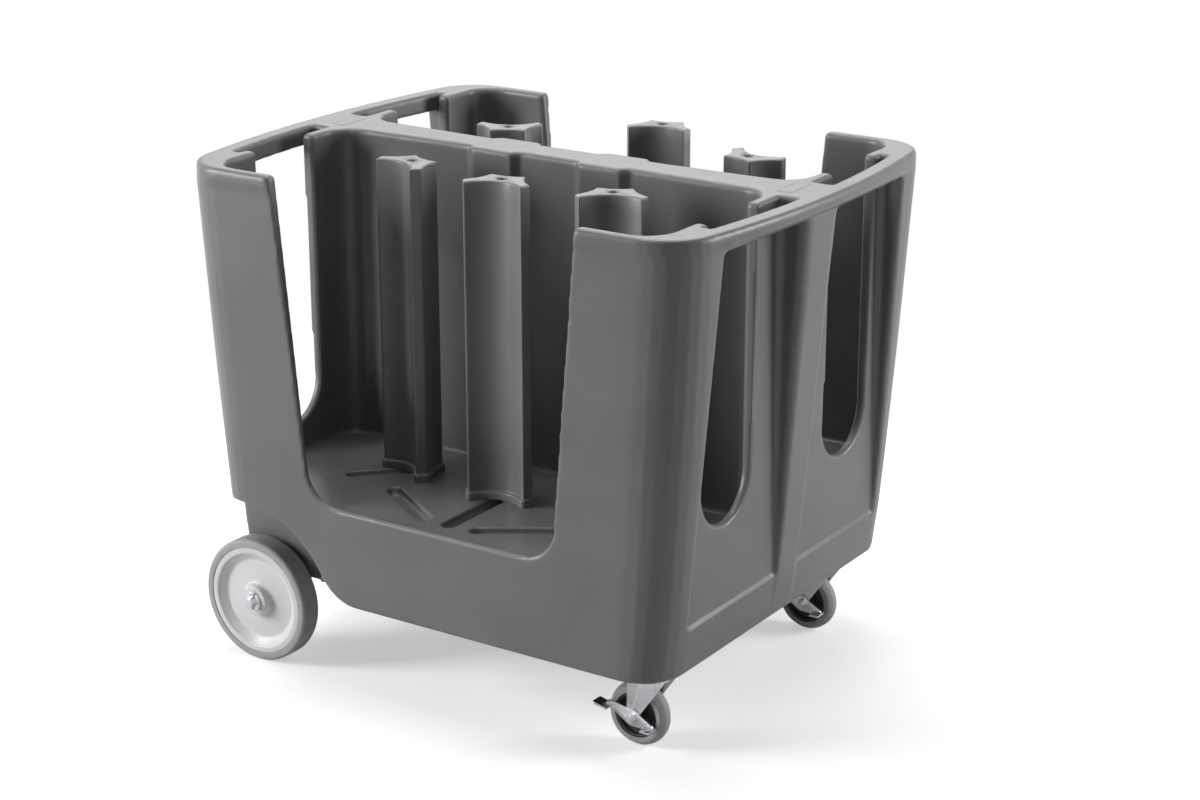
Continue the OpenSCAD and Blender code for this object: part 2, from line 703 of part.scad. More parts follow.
// Swivel casters: plate, kingpin, fork, wheel, axle bolt and rocking brake lever
plate_t = 3.5;
race_h = 7;
race_d = 56;
crown_z = base_z - plate_t - race_h;
kingpin_d = 12;
caster_axle_d = 8;
caster_core_d = 72;
caster_hub_w = 34;
fork_gap = 1;
fork_in = caster_hub_w / 2 + fork_gap;
fork_out = fork_in + fork_t;
wheel_z = caster_d / 2;
module at_caster(s) {
  translate([caster_x, s * caster_y, 0]) children();
}
module at_caster_wheel(s) {
  translate([caster_x - trail, s * caster_y, wheel_z]) children();
}
module disc_y(from, to, d) {
  translate([0, from, 0]) rotate([-90, 0, 0]) cylinder(d = d, h = to - from);
}
module caster_plate(s) {
  color(steel_grey) at_caster(s) difference() {
    union() {
      translate([-plate_l / 2, -plate_w / 2, base_z - plate_t]) cube([plate_l, plate_w, plate_t]);
      translate([0, 0, crown_z + race_h / 2]) cylinder(d = race_d, h = race_h / 2 + plate_t / 2);
    }
    translate([0, 0, base_z - plate_t - race_h]) cylinder(d = kingpin_d, h = race_h + plate_t + over);
    translate([0, 0, base_z - plate_t - over])
      plate_bolt_spots() cylinder(d = plate_bolt_d + bolt_gap, h = plate_t + 2 * over);
  }
}
module plate_bolts(s) {
  color(steel_grey) at_caster(s) translate([0, 0, base_z - plate_t])
    plate_bolt_spots() hex_bolt(plate_bolt_d, plate_t + pad_t, plate_bolt_d);
}
rivet_d = 22;
rivet_h = 4;
module kingpin(s) {
  color(steel_grey) at_caster(s) {
    translate([0, 0, crown_z - fork_t - rivet_h]) cylinder(d = kingpin_d, h = base_z - crown_z + fork_t + rivet_h);
    translate([0, 0, crown_z - fork_t - rivet_h - face_gap]) cylinder(d = rivet_d, h = rivet_h);
  }
}
leg_top = 27;
leg_foot = 11;
module fork_leg(y) {
  translate([0, y, 0]) rotate([90, 0, 0]) linear_extrude(fork_t) polygon([
    [leg_top, crown_z], [-trail - leg_foot, crown_z], [-trail - leg_foot, wheel_z - leg_foot], [leg_foot - trail, wheel_z - leg_foot],
    [leg_foot - trail, wheel_z + leg_foot / 2]]);
}
module fork(s) {
  color(steel_grey) at_caster(s) difference() {
    union() {
      translate([-trail - leg_foot, -fork_out, crown_z - fork_t])
        cube([trail + leg_foot + leg_top, 2 * fork_out, fork_t]);
      translate([0, 0, crown_z - fork_t]) cylinder(d = race_d, h = fork_t + race_h / 2 - face_gap);
      fork_leg(-fork_in);
      fork_leg(fork_out);
    }
    translate([0, 0, crown_z - 2 * over]) cylinder(d = kingpin_d + 2 * run_fit, h = 4 * over);
    translate([-trail, 0, wheel_z]) disc_y(-2 * fork_out, 2 * fork_out, caster_axle_d);
  }
}
module caster_core(s) {
  color(dark_grey) at_caster_wheel(s) difference() {
    union() {
      disc_y(-caster_w / 4, caster_w / 4, caster_core_d);
      disc_y(-caster_hub_w / 2 + face_gap, caster_hub_w / 2 - face_gap, 3 * caster_axle_d);
      difference() {
        disc_y(-caster_w / 2 + rim_lip, caster_w / 2 - rim_lip, caster_core_d);
        disc_y(-caster_w, caster_w, caster_core_d - rim_t_w);
      }
    }
    disc_y(-caster_w, caster_w, caster_axle_d + 2 * run_fit);
  }
}
module caster_tyre(s) {
  color(tyre_grey) at_caster_wheel(s) rotate([90, 0, 0]) rotate_extrude($fn = 96) polygon([
    [caster_core_d / 2, -caster_w / 2], [caster_d / 2 - 2 * tyre_round, -caster_w / 2],
    [caster_d / 2 - tyre_round / 2, tyre_round - caster_w / 2],
    [caster_d / 2, 2 * tyre_round - caster_w / 2], [caster_d / 2, caster_w / 2 - 2 * tyre_round],
    [caster_d / 2 - tyre_round / 2, caster_w / 2 - tyre_round],
    [caster_d / 2 - 2 * tyre_round, caster_w / 2], [caster_core_d / 2, caster_w / 2]]);
}
lever_t = 3;
lever_in = fork_out + face_gap;
axle_head_h = 5;
nut_side = lever_in + lever_t + face_gap;
module caster_axle(s) {
  color(steel_grey) at_caster_wheel(s) {
    disc_y(-nut_side - axle_head_h - over / 2, fork_out, caster_axle_d);
    translate([0, fork_out, 0]) rotate([-90, 0, 0]) cylinder(d = hex_share * caster_axle_d, h = axle_head_h, $fn = 6);
  }
}
module caster_nut(s) {
  color(steel_grey) at_caster_wheel(s) difference() {
    translate([0, -nut_side - axle_head_h, 0]) rotate([-90, 0, 0])
      cylinder(d = hex_share * caster_axle_d, h = axle_head_h, $fn = 6);
    disc_y(-cart_w, 0, caster_axle_d);
  }
}
// Lever: a plate on the axle with a long raised toe and a short lowered one
toe_long = 56;
toe_short = 40;
toe_w = 20;
pedal_w = 16;
pedal_t = 3;
lever_hub = 26;
lever_turn = 13;
toe_up_share = 0.75;
toe_down_share = 0.45;
toe_foot_share = 0.55;
module lever_arm(run, up) {
  hull() {
    disc_y(-lever_in - lever_t, -lever_in, lever_hub);
    translate([run, 0, up]) disc_y(-lever_in - lever_t, -lever_in, lever_hub / 3);
  }
}
module brake_lever(s) {
  color(steel_grey) at_caster_wheel(s) difference() {
    union() {
      lever_arm(-toe_long + pedal_w, toe_w * toe_up_share);
      lever_arm(toe_short - pedal_w / 2, -toe_w * toe_down_share);
      translate([-toe_long, -lever_in - toe_w, toe_w * toe_up_share]) rotate([0, lever_turn, 0])
        cube([pedal_w + over, toe_w, pedal_t]);
      translate([toe_short - pedal_w, -lever_in - toe_w, -toe_w * toe_foot_share]) cube([pedal_w, toe_w, pedal_t]);
    }
    disc_y(-cart_w, cart_w, caster_axle_d + 2 * run_fit);
  }
}
module lever_pad(s) {
  color(dark_grey) at_caster_wheel(s)
    translate([-toe_long, -lever_in - toe_w, toe_w * toe_up_share]) rotate([0, lever_turn, 0])
      translate([-pedal_t, 0, pedal_t]) cube([pedal_w + pedal_t - over, toe_w, pedal_t / 2]);
}

body();
tower(SPOTS[0].x, SPOTS[0].y, SPOTS[0].z);  // tower_front_left
tower(SPOTS[1].x, SPOTS[1].y, SPOTS[1].z);  // tower_front_mid
tower(SPOTS[2].x, SPOTS[2].y, SPOTS[2].z);  // tower_front_right
tower(SPOTS[3].x, SPOTS[3].y, SPOTS[3].z);  // tower_back_left
tower(SPOTS[4].x, SPOTS[4].y, SPOTS[4].z);  // tower_back_mid
tower(SPOTS[5].x, SPOTS[5].y, SPOTS[5].z);  // tower_back_right
tower_bolt(SPOTS[0].x, SPOTS[0].y);  // tower_bolt_front_left
tower_bolt(SPOTS[1].x, SPOTS[1].y);  // tower_bolt_front_mid
tower_bolt(SPOTS[2].x, SPOTS[2].y);  // tower_bolt_front_right
tower_bolt(SPOTS[3].x, SPOTS[3].y);  // tower_bolt_back_left
tower_bolt(SPOTS[4].x, SPOTS[4].y);  // tower_bolt_back_mid
tower_bolt(SPOTS[5].x, SPOTS[5].y);  // tower_bolt_back_right
clamp_plate(SPOTS[0].x, SPOTS[0].y);  // clamp_plate_front_left
clamp_plate(SPOTS[1].x, SPOTS[1].y);  // clamp_plate_front_mid
clamp_plate(SPOTS[2].x, SPOTS[2].y);  // clamp_plate_front_right
clamp_plate(SPOTS[3].x, SPOTS[3].y);  // clamp_plate_back_left
clamp_plate(SPOTS[4].x, SPOTS[4].y);  // clamp_plate_back_mid
clamp_plate(SPOTS[5].x, SPOTS[5].y);  // clamp_plate_back_right
clamp_nut(SPOTS[0].x, SPOTS[0].y);  // clamp_nut_front_left
clamp_nut(SPOTS[1].x, SPOTS[1].y);  // clamp_nut_front_mid
clamp_nut(SPOTS[2].x, SPOTS[2].y);  // clamp_nut_front_right
clamp_nut(SPOTS[3].x, SPOTS[3].y);  // clamp_nut_back_left
clamp_nut(SPOTS[4].x, SPOTS[4].y);  // clamp_nut_back_mid
clamp_nut(SPOTS[5].x, SPOTS[5].y);  // clamp_nut_back_right
axle();
axle_bracket(-1);  // axle_bracket_front
axle_bracket(1);  // axle_bracket_back
bracket_bolts();
arch_bolts();
axle_spacers();
axle_washers();
split_pins();
wheel_core(-1);  // wheel_core_front
wheel_core(1);  // wheel_core_back
wheel_tyre(-1);  // wheel_tyre_front
wheel_tyre(1);  // wheel_tyre_back
wheel_bush(-1);  // wheel_bush_front
wheel_bush(1);  // wheel_bush_back
caster_plate(-1);  // caster_plate_front
caster_plate(1);  // caster_plate_back
plate_bolts(-1);  // plate_bolts_front
plate_bolts(1);  // plate_bolts_back
kingpin(-1);  // kingpin_front
kingpin(1);  // kingpin_back
fork(-1);  // fork_front
fork(1);  // fork_back
caster_core(-1);  // caster_core_front
caster_core(1);  // caster_core_back
caster_tyre(-1);  // caster_tyre_front
caster_tyre(1);  // caster_tyre_back
caster_axle(-1);  // caster_axle_front
caster_axle(1);  // caster_axle_back
caster_nut(-1);  // caster_nut_front
caster_nut(1);  // caster_nut_back
brake_lever(-1);  // brake_lever_front
brake_lever(1);  // brake_lever_back
lever_pad(-1);  // lever_pad_front
lever_pad(1);  // lever_pad_back
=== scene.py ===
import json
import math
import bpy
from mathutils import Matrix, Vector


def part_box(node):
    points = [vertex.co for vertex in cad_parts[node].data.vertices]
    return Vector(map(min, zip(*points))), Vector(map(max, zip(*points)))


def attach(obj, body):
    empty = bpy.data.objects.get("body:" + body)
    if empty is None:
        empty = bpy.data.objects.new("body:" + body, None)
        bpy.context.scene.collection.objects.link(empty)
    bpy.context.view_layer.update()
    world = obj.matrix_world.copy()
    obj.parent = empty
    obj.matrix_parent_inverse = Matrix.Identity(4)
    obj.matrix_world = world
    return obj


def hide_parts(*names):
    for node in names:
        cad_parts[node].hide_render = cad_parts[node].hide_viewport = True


bl_info = {
    "name": "Plate dispenser cart",
    "version": (1, 0, 0),
    "blender": (4, 5, 0),
    "location": "3D View > Sidebar > Plate cart",
    "description": "Dresses the plate dispenser cart and its studio",
    "category": "Object",
}

import bmesh
import bpy
import numpy as np

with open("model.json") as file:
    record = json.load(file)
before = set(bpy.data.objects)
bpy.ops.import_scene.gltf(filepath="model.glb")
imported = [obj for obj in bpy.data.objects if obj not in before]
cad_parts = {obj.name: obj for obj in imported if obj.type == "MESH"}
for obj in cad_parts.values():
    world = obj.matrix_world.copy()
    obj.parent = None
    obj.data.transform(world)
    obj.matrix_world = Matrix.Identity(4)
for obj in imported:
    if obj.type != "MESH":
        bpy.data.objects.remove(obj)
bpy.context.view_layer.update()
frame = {"nodes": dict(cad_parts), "record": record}

SIDES = ("front", "back")
PLACES = ("front_left", "front_mid", "front_right", "back_left", "back_mid", "back_right")
# Which way each tower's hollow face looks, in degrees about the upright axis
TOWER_TURNS = dict(zip(PLACES, (-19, 12, 26, 210, 14, 166)))


def box_of(node):
    """Lowest and highest corner of a CAD node as arrays."""
    low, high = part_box(node)
    return np.array(low), np.array(high)


def centre_of(node):
    low, high = box_of(node)
    return (low + high) / 2


# Sizes that users may change

class CartShape(bpy.types.PropertyGroup):
    body_grain: bpy.props.FloatProperty(
        name="Body grain", description="Grid on which the soft body is rebuilt",
        default=0.0032, min=0.003, max=0.01, unit="LENGTH")
    body_edge: bpy.props.FloatProperty(
        name="Body edge", description="Width of the cut on the body's edges",
        default=0.005, min=0.001, max=0.008, unit="LENGTH")
    body_rounds: bpy.props.IntProperty(
        name="Body softness", description="How often the body's edges are relaxed",
        default=4, min=0, max=20)
    tower_edge: bpy.props.FloatProperty(
        name="Tower edge", description="Rounding of the towers' top edges",
        default=0.003, min=0.001, max=0.005, unit="LENGTH")
    steel_edge: bpy.props.FloatProperty(
        name="Steel edge", description="Rounding of pressed steel edges",
        default=0.0008, min=0.0002, max=0.0015, unit="LENGTH")


class CartColours(bpy.types.PropertyGroup):
    body: bpy.props.FloatVectorProperty(
        name="Body", description="Colour of the moulded plastic",
        default=(0.152, 0.154, 0.158), subtype="COLOR", min=0, max=1)
    core: bpy.props.FloatVectorProperty(
        name="Wheel centre", description="Colour of the large wheels' centres",
        default=(0.60, 0.60, 0.61), subtype="COLOR", min=0, max=1)
    tread: bpy.props.FloatVectorProperty(
        name="Tread", description="Colour of the tyres",
        default=(0.33, 0.33, 0.335), subtype="COLOR", min=0, max=1)
    dark: bpy.props.FloatVectorProperty(
        name="Dark plastic", description="Colour of the caster wheels' centres",
        default=(0.022, 0.022, 0.024), subtype="COLOR", min=0, max=1)
    zinc: bpy.props.FloatVectorProperty(
        name="Zinc", description="Colour of the plated steel",
        default=(0.72, 0.73, 0.75), subtype="COLOR", min=0, max=1)


# Shader maths

class Sock:
    """A shader socket that adds its Math nodes when it is used in an expression."""

    def __init__(self, paint, out):
        self.paint = paint
        self.out = out

    def maths(self, operation, first, second):
        return self.paint.add("ShaderNodeMath", {"operation": operation}, {0: first, 1: second})

    def __add__(self, other):
        return self.maths("ADD", self, other)

    __radd__ = __add__

    def __mul__(self, other):
        return self.maths("MULTIPLY", self, other)

    __rmul__ = __mul__

    def __gt__(self, other):
        return self.maths("GREATER_THAN", self, other)


class Paint:
    """The node tree of a material or a world, with one way to add a node."""

    def __init__(self, owner):
        owner.use_nodes = True
        self.owner = owner
        self.tree = owner.node_tree
        self.tree.nodes.clear()

    def add(self, kind, settings=None, values=None, out=0):
        node = self.tree.nodes.new(kind)
        for name, value in (settings or {}).items():
            setattr(node, name, value)
        for name, value in (values or {}).items():
            if isinstance(value, Sock):
                self.tree.links.new(value.out, node.inputs[name])
            else:
                node.inputs[name].default_value = value
        return Sock(self, node.outputs[out]) if node.outputs else None

    def place(self):
        return self.add("ShaderNodeTexCoord", out="Object")

    def noise(self, scale, detail=3.0, rough=0.5, at=None, stretch=None):
        at = at or self.place()
        if stretch:
            at = self.add("ShaderNodeMapping", None, {"Vector": at, "Scale": stretch})
        return self.add("ShaderNodeTexNoise", None,
                        {"Vector": at, "Scale": scale, "Detail": detail, "Roughness": rough})

    def ramp(self, value, low, high):
        """0 below low, 1 above high, straight between them."""
        return self.add("ShaderNodeMapRange", None,
                        {"Value": value, "From Min": low, "From Max": high})

    def mix(self, factor, one, two):
        """Colour one where factor is 0 and colour two where it is 1."""
        return self.add("ShaderNodeMix", {"data_type": "RGBA"}, {0: factor, 6: one, 7: two}, out=2)

    def bump(self, height, strength, distance, after=None):
        values = {"Height": height, "Strength": strength, "Distance": distance}
        if after:
            values["Normal"] = after
        return self.add("ShaderNodeBump", None, values)

    def finish(self, **values):
        """Ends the material with a Principled shader that has these values."""
        named = {name.replace("_", " "): value for name, value in values.items()}
        shader = self.add("ShaderNodeBsdfPrincipled", None, named)
        self.add("ShaderNodeOutputMaterial", None, {"Surface": shader})
        return self.owner


def shade(colour, factor):
    return tuple(min(1.0, c * factor) for c in colour[:3]) + (1.0,)


MATERIALS = {}


def material(name, make):
    """The material of that name, made the first time it is asked for."""
    if name not in MATERIALS:
        MATERIALS[name] = make(Paint(bpy.data.materials.new(name)))
    return MATERIALS[name]


def moulded_plastic(paint, pale=1.0):
    """Matt moulded plastic: cloudy colour, fine grain, faint ripple, rubbed patches and dust. A pale
    above 1 brightens the whole colour as painted light.
    """
    colour = bpy.context.scene.cart_colours.body
    cloud = paint.ramp(paint.noise(7.0, 4.0), 0.35, 0.65)
    speck = paint.ramp(paint.noise(900.0, 2.0), 0.35, 0.65)
    rub = paint.ramp(paint.noise(3.2, 6.0, 0.7, stretch=(1, 1, 3)), 0.52, 0.72)
    tone = cloud * 0.45 + speck * 0.4 + rub * 0.15
    # pale scales both colours alike: 1 on the body, above 1 a painted-light brightening
    base = paint.mix(tone, shade(colour, 0.88 * pale), shade(colour, 1.14 * pale))
    ripple = paint.bump(paint.noise(26.0, 1.0), 0.10, 0.004)
    grain = paint.bump(paint.noise(760.0, 2.0, 0.6), 0.28, 0.00035, ripple)
    return paint.finish(Base_Color=base, Roughness=0.30 + 0.08 * speck + 0.08 * rub,
                        Specular_IOR_Level=0.38, Normal=grain)


def tower_plastic(paint):
    """The body's plastic brightened 1.2 times as painted light, standing in for lamp light that reaches
    the towers' sides too weakly.
    """
    return moulded_plastic(paint, 1.2)


def light_plastic(paint):
    """Smooth pale plastic with faint flow marks and grime near the floor."""
    colour = bpy.context.scene.cart_colours.core
    cloud = paint.ramp(paint.noise(12.0, 4.0), 0.35, 0.7)
    grime = paint.ramp(paint.noise(34.0, 6.0, 0.7), 0.55, 0.8)
    base = paint.mix(cloud * 0.5 + grime * 0.5, shade(colour, 1.04), shade(colour, 0.90))
    grain = paint.bump(paint.noise(420.0, 2.0), 0.15, 0.0003)
    return paint.finish(Base_Color=base, Roughness=0.36 + 0.12 * cloud, Normal=grain)


def tread_rubber(paint):
    """Grey rubber with a fine matt grain and scuffed patches."""
    colour = bpy.context.scene.cart_colours.tread
    scuff = paint.ramp(paint.noise(45.0, 6.0, 0.7), 0.45, 0.7)
    grain = paint.noise(1300.0, 3.0)
    base = paint.mix(scuff * 0.6 + grain * 0.4, shade(colour, 0.86), shade(colour, 1.16))
    bump = paint.bump(grain, 0.3, 0.0003)
    return paint.finish(Base_Color=base, Roughness=0.62 + 0.2 * scuff, Normal=bump)


def dark_plastic(paint):
    """Near-black moulded nylon."""
    colour = bpy.context.scene.cart_colours.dark
    cloud = paint.ramp(paint.noise(60.0, 4.0), 0.35, 0.7)
    base = paint.mix(cloud, shade(colour, 0.8), shade(colour, 1.5))
    bump = paint.bump(paint.noise(900.0, 2.0), 0.2, 0.0002)
    return paint.finish(Base_Color=base, Roughness=0.38 + 0.15 * cloud, Normal=bump)


def zinc_plate(paint):
    """Bright zinc plate: cloudy crystals and drawn streaks."""
    colour = bpy.context.scene.cart_colours.zinc
    cloud = paint.ramp(paint.noise(70.0, 5.0, 0.6), 0.35, 0.65)
    streak = paint.ramp(paint.noise(220.0, 3.0, 0.6, stretch=(1, 1, 0.06)), 0.3, 0.7)
    base = paint.mix(cloud * 0.6 + streak * 0.4, shade(colour, 0.86), shade(colour, 1.06))
    bump = paint.bump(streak, 0.06, 0.0002)
    rough = 0.24 + 0.12 * cloud + 0.06 * streak
    return paint.finish(Base_Color=base, Metallic=1.0, Roughness=rough, Normal=bump)


FINISHES = {
    "body_plastic": moulded_plastic,
    # the towers' finish is the body plastic brightened as painted light
    "tower_plastic": tower_plastic,
    "zinc": zinc_plate,
    "core_plastic": light_plastic,
    "grey_tread": tread_rubber,
    "dark_plastic": dark_plastic,
    "pad_rubber": dark_plastic,
}


# Meshes

def add_piece(name, points, faces, body, slot, nodes=(), smooth=True):
    """A piece from points and faces that rides on a body and stands for some CAD nodes."""
    mesh = bpy.data.meshes.new(name)
    mesh.from_pydata(points.tolist() if hasattr(points, "tolist") else points, [], faces)
    mesh.validate()
    mesh.polygons.foreach_set("use_smooth", [smooth] * len(mesh.polygons))
    return dress(mesh, name, body, slot, nodes)


def dress(mesh, name, body, slot, nodes=()):
    piece = bpy.data.objects.new(name, mesh)
    bpy.context.scene.collection.objects.link(piece)
    mesh.materials.clear()
    mesh.materials.append(material(slot, FINISHES[slot]))
    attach(piece, body)
    if nodes:
        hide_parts(*nodes)
    return piece


def grid_faces(rows, columns, wrap_rows=False, wrap_columns=True):
    """Quads of a grid of points, row after row, that may close on itself either way."""
    i = np.arange(rows if wrap_rows else rows - 1)[:, None]
    j = np.arange(columns if wrap_columns else columns - 1)[None, :]
    k = (i + 1) % rows
    m = (j + 1) % columns
    quads = np.stack([i * columns + j, i * columns + m, k * columns + m, k * columns + j], axis=-1)
    return quads.reshape(-1, 4).tolist()


def turned(name, profile, centre, body, slot, nodes=(), around=128):
    """A turned ring about the Y axis: its closed profile of (radius, distance along Y) is carried
    round a circle, so point (i, j) is centre + (radius_i cos a_j, along_i, radius_i sin a_j)."""
    profile = np.array(profile, float)
    angle = np.linspace(0, 2 * math.pi, around, endpoint=False)
    radius = profile[:, 0][:, None]
    along = np.repeat(profile[:, 1][:, None], around, axis=1)
    points = np.stack([radius * np.cos(angle), along, radius * np.sin(angle)], axis=-1)
    points = points.reshape(-1, 3) + np.array(centre)
    piece = add_piece(name, points, grid_faces(len(profile), around, wrap_rows=True), body, slot, nodes)
    outward(piece)
    return piece


def outward(piece):
    """Turns a closed shell's faces outwards."""
    work = bmesh.new()
    work.from_mesh(piece.data)
    bmesh.ops.remove_doubles(work, verts=work.verts, dist=1e-7)
    bmesh.ops.recalc_face_normals(work, faces=work.faces)
    work.to_mesh(piece.data)
    work.free()


def fillet(corners, radii, steps=5, closed=True):
    """The outline through corners with each one rounded to its radius by an arc."""
    corners = [np.array(c, float) for c in corners]
    points = []
    count = len(corners)
    for i, here in enumerate(corners):
        radius = radii[i]
        if radius <= 0 or (not closed and i in (0, count - 1)):
            points.append(here)
            continue
        before = corners[i - 1] - here
        after = corners[(i + 1) % count] - here
        before, after = before / np.linalg.norm(before), after / np.linalg.norm(after)
        half = math.acos(float(np.clip(before @ after, -1, 1))) / 2
        start = here + before * radius / math.tan(half)
        middle = (before + after) / np.linalg.norm(before + after)
        centre = here + middle * radius / math.sin(half)
        first = start - centre
        last = here + after * radius / math.tan(half) - centre
        a = math.atan2(first[1], first[0])
        turn = (math.atan2(last[1], last[0]) - a + math.pi) % (2 * math.pi) - math.pi
        for t in np.linspace(0, 1, steps + 1):
            points.append(centre + radius * np.array([math.cos(a + turn * t), math.sin(a + turn * t)]))
    return np.array(points)


JOIN_WITHIN = 1e-6
FLAT_WITHIN = math.radians(1.0)


def merged(node, mark=None):
    """A copy of a CAD node's mesh whose loose triangles are joined to flat faces. The function
    mark may then work on its edges."""
    work = bmesh.new()
    work.from_mesh(frame["nodes"][node].data)
    bmesh.ops.remove_doubles(work, verts=work.verts, dist=JOIN_WITHIN)
    bmesh.ops.dissolve_degenerate(work, edges=work.edges, dist=JOIN_WITHIN)
    mesh = bpy.data.meshes.new(node + "_copy")
    work.to_mesh(mesh)
    work.free()
    # Read anew, because the order of the points decides how the faces join
    work = bmesh.new()
    work.from_mesh(mesh)
    bmesh.ops.dissolve_limit(work, angle_limit=FLAT_WITHIN, verts=work.verts, edges=work.edges)
    if mark:
        mark(work)
    work.to_mesh(mesh)
    work.free()
    return mesh


ROUNDED_STEPS = 2
ROUNDED_ABOVE = math.radians(30)


def rounded(name, node, body, slot, width):
    """A copy of a CAD node with its edges rounded."""
    mesh = merged(node)
    mesh.polygons.foreach_set("use_smooth", [True] * len(mesh.polygons))
    piece = dress(mesh, name, body, slot, (node,))
    bevel = piece.modifiers.new("Edges", "BEVEL")
    bevel.width = width
    bevel.segments = ROUNDED_STEPS
    bevel.limit_method = "ANGLE"
    bevel.angle_limit = ROUNDED_ABOVE
    bevel.use_clamp_overlap = True
    bevel.harden_normals = True
    return piece


# Camera and studio, at the photograph's viewing angle

CAMERA_AT = (2.162, -3.179, 1.696)
CAMERA_YAW = math.radians(33.29)
CAMERA_DIP = math.radians(18.51)
CAMERA_LENS = 76.62
# Name, place, size, watts and target of each lamp
MIDDLE = (0, 0, 0.45)
LAMPS = (
    ("sky", (-0.6, 0.5, 3.2), (2.6, 1.8), 70, MIDDLE),
    ("back_strip", (-2.1, 3.2, 2.3), (2.6, 0.9), 20, (0, 0, 0.8)),
    ("left_wall", (-3.1, -2.7, 1.5), (1.3, 2.2), 165, MIDDLE),
    ("right_wall", (3.0, 2.1, 1.4), (1.2, 2.0), 96, MIDDLE),
)
WHITE = (1, 1, 1, 1)
# Light that the surround and the far floor give to dull surfaces, where 1 is white
SURROUND_DULL = 0.06
FLOOR_DULL = 0.25
FLOOR_REACH = 14.0
FLOOR_COLOUR = (0.8, 0.8, 0.8, 1)
# Brightening of the near floor for the camera, and where the near floor fades to white
FLOOR_LIFT = 0.47
FLOOR_FADE = (0.9, 1.7)


def aim(thing, at, target):
    """Puts a lamp at a place so that it faces the target."""
    there = np.array(target) - np.array(at)
    thing.location = at
    flat = math.hypot(there[0], there[1])
    thing.rotation_euler = (math.atan2(flat, -there[2]), 0, math.atan2(-there[0], there[1]))


def lamp(name, at, size, power, target):
    light = bpy.data.lights.new(name, "AREA")
    light.shape = "RECTANGLE"
    light.size, light.size_y = size
    light.energy = power
    thing = bpy.data.objects.new(name, light)
    bpy.context.scene.collection.objects.link(thing)
    aim(thing, at, target)


def seen(paint):
    """Two values: 1 for camera rays only, and 1 for rays from the camera, gloss and glass."""
    path = paint.tree.nodes.new("ShaderNodeLightPath")
    kinds = ("Is Camera Ray", "Is Glossy Ray", "Is Transmission Ray")
    flags = [Sock(paint, path.outputs[kind]) for kind in kinds]
    return flags[0], (flags[0] + flags[1] + flags[2]) > 0.5


class CART_OT_stage(bpy.types.Operator):
    """Pale floor, white surround, soft lamps and the camera"""
    bl_idname = "cart.stage"
    bl_label = "Studio"

    def execute(self, context):
        scene = context.scene
        scene.view_settings.view_transform = "Standard"
        self.floor()
        self.surround(scene)
        for each in LAMPS:
            lamp(*each)
        view = bpy.data.cameras.new("view")
        view.lens = CAMERA_LENS
        view.sensor_width = 36
        view.clip_end = 100
        eye = bpy.data.objects.new("view", view)
        scene.collection.objects.link(eye)
        eye.location = CAMERA_AT
        eye.rotation_euler = (math.pi / 2 - CAMERA_DIP, 0, CAMERA_YAW)
        scene.camera = eye
        return {"FINISHED"}

    def floor(self):
        """A pale floor that keeps the shadow and turns white further out."""
        mesh = bpy.data.meshes.new("floor")
        signs = ((-1, -1), (1, -1), (1, 1), (-1, 1))
        corners = [(x * FLOOR_REACH, y * FLOOR_REACH, 0) for x, y in signs]
        mesh.from_pydata(corners, [], [(0, 1, 2, 3)])
        floor = bpy.data.objects.new("floor", mesh)
        bpy.context.scene.collection.objects.link(floor)
        paint = Paint(bpy.data.materials.new("floor"))
        camera, shown = seen(paint)
        length = paint.add("ShaderNodeVectorMath", {"operation": "LENGTH"},
                           {0: paint.place()}, out="Value")
        far = paint.ramp(length, *FLOOR_FADE)
        dull = paint.add("ShaderNodeBsdfDiffuse", None, {"Color": FLOOR_COLOUR})
        lift = paint.add("ShaderNodeEmission", None, {"Strength": camera * FLOOR_LIFT})
        near = paint.add("ShaderNodeAddShader", None, {0: dull, 1: lift})
        white = paint.add("ShaderNodeEmission", None,
                          {"Strength": FLOOR_DULL + (1 - FLOOR_DULL) * shown})
        both = paint.add("ShaderNodeMixShader", None, {0: far, 1: near, 2: white})
        paint.add("ShaderNodeOutputMaterial", None, {"Surface": both})
        mesh.materials.append(paint.owner)

    def surround(self, scene):
        world = bpy.data.worlds.new("surround")
        scene.world = world
        paint = Paint(world)
        shown = seen(paint)[1]
        glow = paint.add("ShaderNodeBackground", None, {
            "Color": WHITE, "Strength": SURROUND_DULL + (1 - SURROUND_DULL) * shown})
        paint.add("ShaderNodeOutputWorld", None, {"Surface": glow})


# Boxes (lowest and highest |x|, |y| and z) in which the body's edges stay as they are
QUIET = {
    "under the rim": ((0, 0, 0.772), (1, 1, 0.785)),
    "hollow base": ((0, 0, 0), (0.395, 0.345, 0.290)),
    "feet of the end recesses": ((0.395, 0, 0), (1, 0.300, 0.200)),
    "floor grooves": ((0, 0, 0), (0.380, 0.335, 0.297)),
    "bare pads": ((0.396, 0, 0.8095), (0.428, 0.033, 1)),
}
STEEP = math.radians(35)
BODY_TRIANGLES = 195000


def quiet(spot):
    place = (abs(spot.x), abs(spot.y), spot.z)
    return any(all(low <= at < high for low, at, high in zip(lowest, place, highest))
               for lowest, highest in QUIET.values())


def mark_steep(work):
    """Gives the steep edges outside the quiet boxes the weight that the edge cut follows."""
    weights = work.edges.layers.float.new("bevel_weight_edge")
    for line in work.edges:
        steep = len(line.link_faces) == 2 and line.calc_face_angle() > STEEP
        line[weights] = float(steep and not any(quiet(v.co) for v in line.verts))


